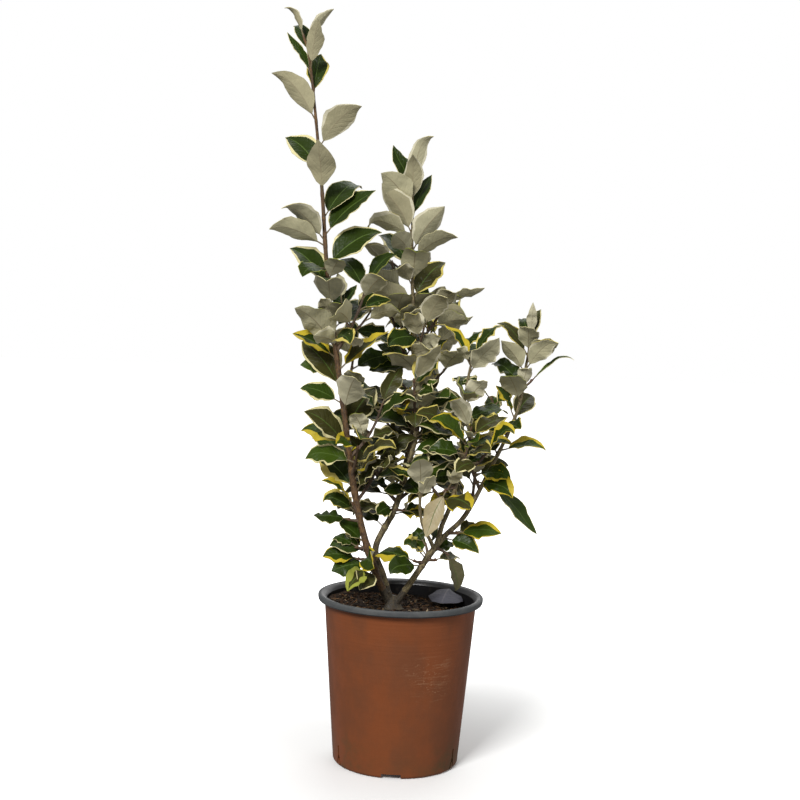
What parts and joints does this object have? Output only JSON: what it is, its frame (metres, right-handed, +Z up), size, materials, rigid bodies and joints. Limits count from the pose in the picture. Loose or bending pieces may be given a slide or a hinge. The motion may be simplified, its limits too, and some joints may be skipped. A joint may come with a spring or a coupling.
{
  "type": "potted elaeagnus shrub",
  "caption": "Variegated evergreen shrub with several slender stems and oval leaves, growing in a round tapered nursery pot that stands on its flat underside.",
  "frame": {"origin": "middle of the pot's flat underside", "axes": "+Z up along the pot's axis, the plant's front faces -Y, and its tallest stem leans towards -X"},
  "size_m": [0.3465, 0.2268, 0.8549],
  "materials": {
    "pot_plastic": "terracotta-coloured plastic with a slight sheen, a grey rolled lip and a black inside",
    "compost": "dark damp bark compost",
    "bark": "thin reddish brown to grey brown bark",
    "foliage": "leathery leaves, green with yellow edges above and silvery beige below"
  },
  "bodies": {
    "root": {"back_left_leaves": "foliage", "back_low_leaves": "foliage", "back_right_leaves": "foliage", "back_stem": "bark", "back_tip_leaves": "foliage", "central_front_leaves": "foliage", "central_high_leaves": "foliage", "central_inner_leaves": "foliage", "central_left_leaves": "foliage", "central_low_leaves": "foliage", "central_low_left_leaves": "foliage", "central_low_right_leaves": "foliage", "central_lowest_leaves": "foliage", "central_mid_leaves": "foliage", "central_outer_leaves": "foliage", "central_stem": "bark", "central_tip_leaves": "foliage", "central_upper_left_leaves": "foliage", "central_upper_right_leaves": "foliage", "compost": "compost", "foot": "bark", "front_spur": "bark", "front_spur_leaves": "foliage", "leader_high_leaves": "foliage", "leader_low_leaves": "foliage", "leader_mid_leaves": "foliage", "leader_tip_leaves": "foliage", "left_back_leaves": "foliage", "left_dark_leaves": "foliage", "left_front_leaves": "foliage", "left_hanging_leaves": "foliage", "left_inner_leaves": "foliage", "left_leader": "bark", "left_low_front_leaves": "foliage", "left_low_leaves": "foliage", "left_lower_inner_leaves": "foliage", "left_upper_inner_leaves": "foliage", "left_yellow_leaves": "foliage", "low_front_leaves": "foliage", "low_outer_leaves": "foliage", "low_right_leaves": "foliage", "low_upright_leaves": "foliage", "middle_right_front_leaves": "foliage", "middle_right_inner_leaves": "foliage", "middle_right_low_leaves": "foliage", "middle_right_stem": "bark", "middle_right_tip_leaves": "foliage", "papery_leaves": "foliage", "pot": "pot_plastic", "right_back_leaves": "foliage", "right_curled_leaves": "foliage", "right_drooping_leaves": "foliage", "right_hanging_leaves": "foliage", "right_inner_leaves": "foliage", "right_low_leaves": "foliage", "right_stem": "bark", "right_tip_leaves": "foliage", "right_upper_leaves": "foliage"}
  },
  "joints": []
}
